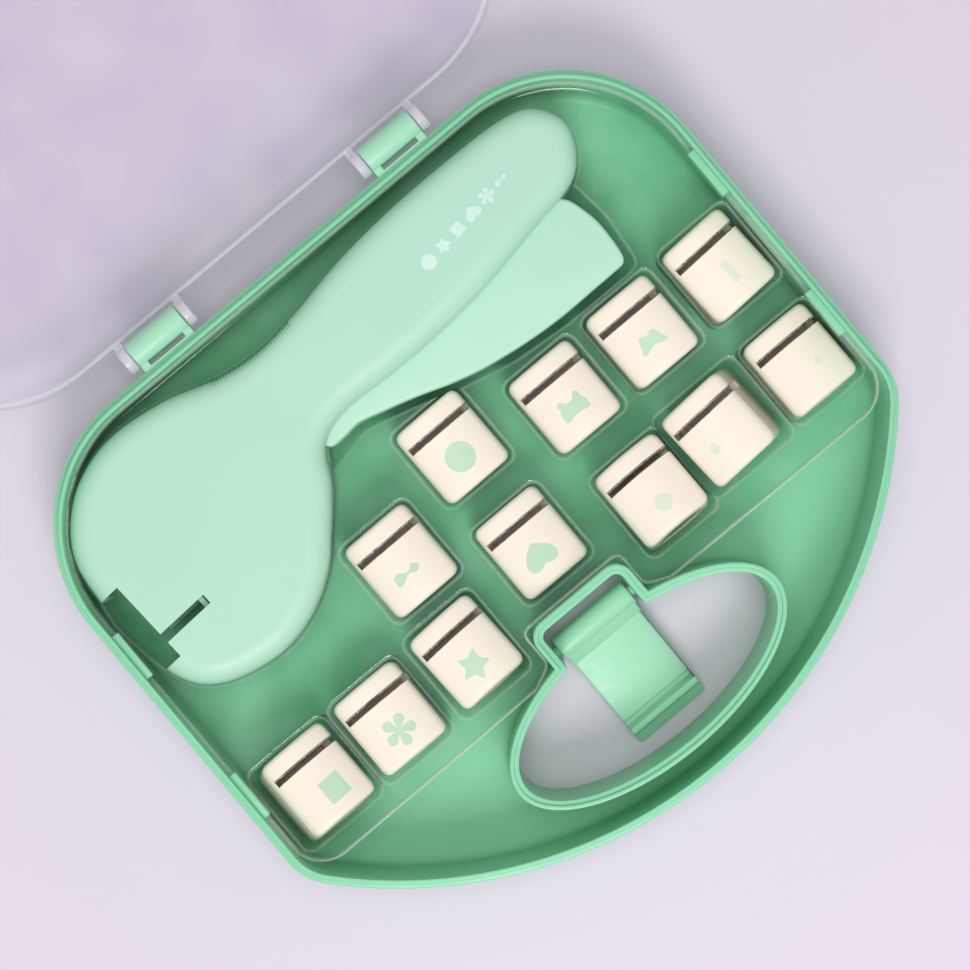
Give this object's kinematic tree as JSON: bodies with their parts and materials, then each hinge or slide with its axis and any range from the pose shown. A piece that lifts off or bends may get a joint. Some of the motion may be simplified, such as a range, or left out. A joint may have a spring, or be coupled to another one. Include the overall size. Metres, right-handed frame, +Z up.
{
  "type": "craft punch kit",
  "caption": "Squeeze craft punch with swap-in shape heads, in a hinged carry case with a clear lid and a clear insert tray.",
  "frame": {"origin": "on the underside of the case, midway between its sides; X = 0 is the middle of the hand hole", "axes": "+Y towards the hinge side, +X along the hinge side, +Z up out of the case"},
  "size_m": [0.205, 0.3652, 0.0345],
  "materials": {
    "case_green": "smooth satin-gloss moulded plastic",
    "tool_mint": "smooth satin moulded plastic",
    "lid_clear": "clear moulded plastic",
    "tray_clear": "clear formed sheet",
    "head_cream": "satin moulded plastic",
    "die_steel": "ground steel",
    "bright_steel": "drawn steel"
  },
  "bodies": {
    "case": {"case_base": "case_green", "insert_tray": "tray_clear"},
    "lid": {"lid": "lid_clear"},
    "latch": {"latch": "case_green"},
    "tool": {"tool_shell_top": "tool_mint", "tool_shell_bottom": "tool_mint", "shell_screws": "bright_steel", "lever_pin": "bright_steel", "lever_spring": "bright_steel"},
    "lever": {"lever": "tool_mint", "striker": "die_steel"},
    "square_head": {"square_head_housing": "head_cream", "square_head_dies": "die_steel", "square_head_spring": "bright_steel"},
    "square_plunger": {"square_head_punch": "bright_steel"},
    "flower_head": {"flower_head_housing": "head_cream", "flower_head_dies": "die_steel", "flower_head_spring": "bright_steel"},
    "flower_plunger": {"flower_head_punch": "bright_steel"},
    "star_head": {"star_head_housing": "head_cream", "star_head_dies": "die_steel", "star_head_spring": "bright_steel"},
    "star_plunger": {"star_head_punch": "bright_steel"},
    "bow_head": {"bow_head_housing": "head_cream", "bow_head_dies": "die_steel", "bow_head_spring": "bright_steel"},
    "bow_plunger": {"bow_head_punch": "bright_steel"},
    "heart_head": {"heart_head_housing": "head_cream", "heart_head_dies": "die_steel", "heart_head_spring": "bright_steel"},
    "heart_plunger": {"heart_head_punch": "bright_steel"},
    "circle_head": {"circle_head_housing": "head_cream", "circle_head_dies": "die_steel", "circle_head_spring": "bright_steel"},
    "circle_plunger": {"circle_head_punch": "bright_steel"},
    "bear_head": {"bear_head_housing": "head_cream", "bear_head_dies": "die_steel", "bear_head_spring": "bright_steel"},
    "bear_plunger": {"bear_head_punch": "bright_steel"},
    "butterfly_head": {"butterfly_head_housing": "head_cream", "butterfly_head_dies": "die_steel", "butterfly_head_spring": "bright_steel"},
    "butterfly_plunger": {"butterfly_head_punch": "bright_steel"},
    "bar_head": {"bar_head_housing": "head_cream", "bar_head_dies": "die_steel", "bar_head_spring": "bright_steel"},
    "bar_plunger": {"bar_head_punch": "bright_steel"},
    "disc_head": {"disc_head_housing": "head_cream", "disc_head_dies": "die_steel", "disc_head_spring": "bright_steel"},
    "disc_plunger": {"disc_head_punch": "bright_steel"},
    "dot_head": {"dot_head_housing": "head_cream", "dot_head_dies": "die_steel", "dot_head_spring": "bright_steel"},
    "dot_plunger": {"dot_head_punch": "bright_steel"},
    "pinhole_head": {"pinhole_head_housing": "head_cream", "pinhole_head_dies": "die_steel", "pinhole_head_spring": "bright_steel"},
    "pinhole_plunger": {"pinhole_head_punch": "bright_steel"}
  },
  "joints": [
    {"name": "lid_hinge", "type": "hinge", "parent": "case", "child": "lid", "pos_m": [0, 0.0942, 0.03], "axis": [-1, 0, 0], "range_deg": [-185.81, 0]},
    {"name": "latch_hinge", "type": "hinge", "parent": "case", "child": "latch", "pos_m": [0, -0.0386, 0.0086], "axis": [1, 0, 0], "range_deg": [-100.29, 0]},
    {"name": "tool_lift", "type": "slide", "parent": "case", "child": "tool", "axis": [0, 0, 1], "range_m": [0, 0.036]},
    {"name": "lever_squeeze", "type": "hinge", "parent": "tool", "child": "lever", "pos_m": [-0.0334, 0.0566, 0.0177], "axis": [0, 0, 1], "range_deg": [0, 4], "stiffness_Nm_per_rad": 2.5, "springref_deg": -6.88, "deforming": ["lever_spring"]},
    {"name": "square_head_lift", "type": "slide", "parent": "case", "child": "square_head", "axis": [0, 0, 1], "range_m": [0, 0.026]},
    {"name": "square_plunger_press", "type": "slide", "parent": "square_head", "child": "square_plunger", "axis": [-0.0211, 0.9962, -0.0846], "range_m": [0, 0.004], "stiffness_N_per_m": 700, "springref_m": -0.002, "deforming": ["square_head_spring"]},
    {"name": "flower_head_lift", "type": "slide", "parent": "case", "child": "flower_head", "axis": [0, 0, 1], "range_m": [0, 0.026]},
    {"name": "flower_plunger_press", "type": "slide", "parent": "flower_head", "child": "flower_plunger", "axis": [0, 0.9976, -0.0698], "range_m": [0, 0.004], "stiffness_N_per_m": 700, "springref_m": -0.002, "deforming": ["flower_head_spring"]},
    {"name": "star_head_lift", "type": "slide", "parent": "case", "child": "star_head", "axis": [0, 0, 1], "range_m": [0, 0.026]},
    {"name": "star_plunger_press", "type": "slide", "parent": "star_head", "child": "star_plunger", "axis": [-0.0378, 0.9955, -0.0871], "range_m": [0, 0.004], "stiffness_N_per_m": 700, "springref_m": -0.002, "deforming": ["star_head_spring"]},
    {"name": "bow_head_lift", "type": "slide", "parent": "case", "child": "bow_head", "axis": [0, 0, 1], "range_m": [0, 0.026]},
    {"name": "bow_plunger_press", "type": "slide", "parent": "bow_head", "child": "bow_plunger", "axis": [-0.0087, 1, 0], "range_m": [0, 0.004], "stiffness_N_per_m": 700, "springref_m": -0.002, "deforming": ["bow_head_spring"]},
    {"name": "heart_head_lift", "type": "slide", "parent": "case", "child": "heart_head", "axis": [0, 0, 1], "range_m": [0, 0.026]},
    {"name": "heart_plunger_press", "type": "slide", "parent": "heart_head", "child": "heart_plunger", "axis": [0, 0.9994, -0.0349], "range_m": [0, 0.004], "stiffness_N_per_m": 700, "springref_m": -0.002, "deforming": ["heart_head_spring"]},
    {"name": "circle_head_lift", "type": "slide", "parent": "case", "child": "circle_head", "axis": [0, 0, 1], "range_m": [0, 0.026]},
    {"name": "circle_plunger_press", "type": "slide", "parent": "circle_head", "child": "circle_plunger", "axis": [-0.0087, 1, 0], "range_m": [0, 0.004], "stiffness_N_per_m": 700, "springref_m": -0.002, "deforming": ["circle_head_spring"]},
    {"name": "bear_head_lift", "type": "slide", "parent": "case", "child": "bear_head", "axis": [0, 0, 1], "range_m": [0, 0.026]},
    {"name": "bear_plunger_press", "type": "slide", "parent": "bear_head", "child": "bear_plunger", "axis": [0, 1, 0], "range_m": [0, 0.004], "stiffness_N_per_m": 700, "springref_m": -0.002, "deforming": ["bear_head_spring"]},
    {"name": "butterfly_head_lift", "type": "slide", "parent": "case", "child": "butterfly_head", "axis": [0, 0, 1], "range_m": [0, 0.026]},
    {"name": "butterfly_plunger_press", "type": "slide", "parent": "butterfly_head", "child": "butterfly_plunger", "axis": [0, 1, 0], "range_m": [0, 0.004], "stiffness_N_per_m": 700, "springref_m": -0.002, "deforming": ["butterfly_head_spring"]},
    {"name": "bar_head_lift", "type": "slide", "parent": "case", "child": "bar_head", "axis": [0, 0, 1], "range_m": [0, 0.026]},
    {"name": "bar_plunger_press", "type": "slide", "parent": "bar_head", "child": "bar_plunger", "axis": [-0.0436, 0.999, 0], "range_m": [0, 0.004], "stiffness_N_per_m": 700, "springref_m": -0.002, "deforming": ["bar_head_spring"]},
    {"name": "disc_head_lift", "type": "slide", "parent": "case", "child": "disc_head", "axis": [0, 0, 1], "range_m": [0, 0.026]},
    {"name": "disc_plunger_press", "type": "slide", "parent": "disc_head", "child": "disc_plunger", "axis": [0, 0.9903, -0.1392], "range_m": [0, 0.004], "stiffness_N_per_m": 700, "springref_m": -0.002, "deforming": ["disc_head_spring"]},
    {"name": "dot_head_lift", "type": "slide", "parent": "case", "child": "dot_head", "axis": [0, 0, 1], "range_m": [0, 0.026]},
    {"name": "dot_plunger_press", "type": "slide", "parent": "dot_head", "child": "dot_plunger", "axis": [-0.0474, 0.9976, -0.0506], "range_m": [0, 0.004], "stiffness_N_per_m": 700, "springref_m": -0.002, "deforming": ["dot_head_spring"]},
    {"name": "pinhole_head_lift", "type": "slide", "parent": "case", "child": "pinhole_head", "axis": [0, 0, 1], "range_m": [0, 0.026]},
    {"name": "pinhole_plunger_press", "type": "slide", "parent": "pinhole_head", "child": "pinhole_plunger", "axis": [0, 0.9976, -0.0698], "range_m": [0, 0.004], "stiffness_N_per_m": 700, "springref_m": -0.002, "deforming": ["pinhole_head_spring"]}
  ]
}
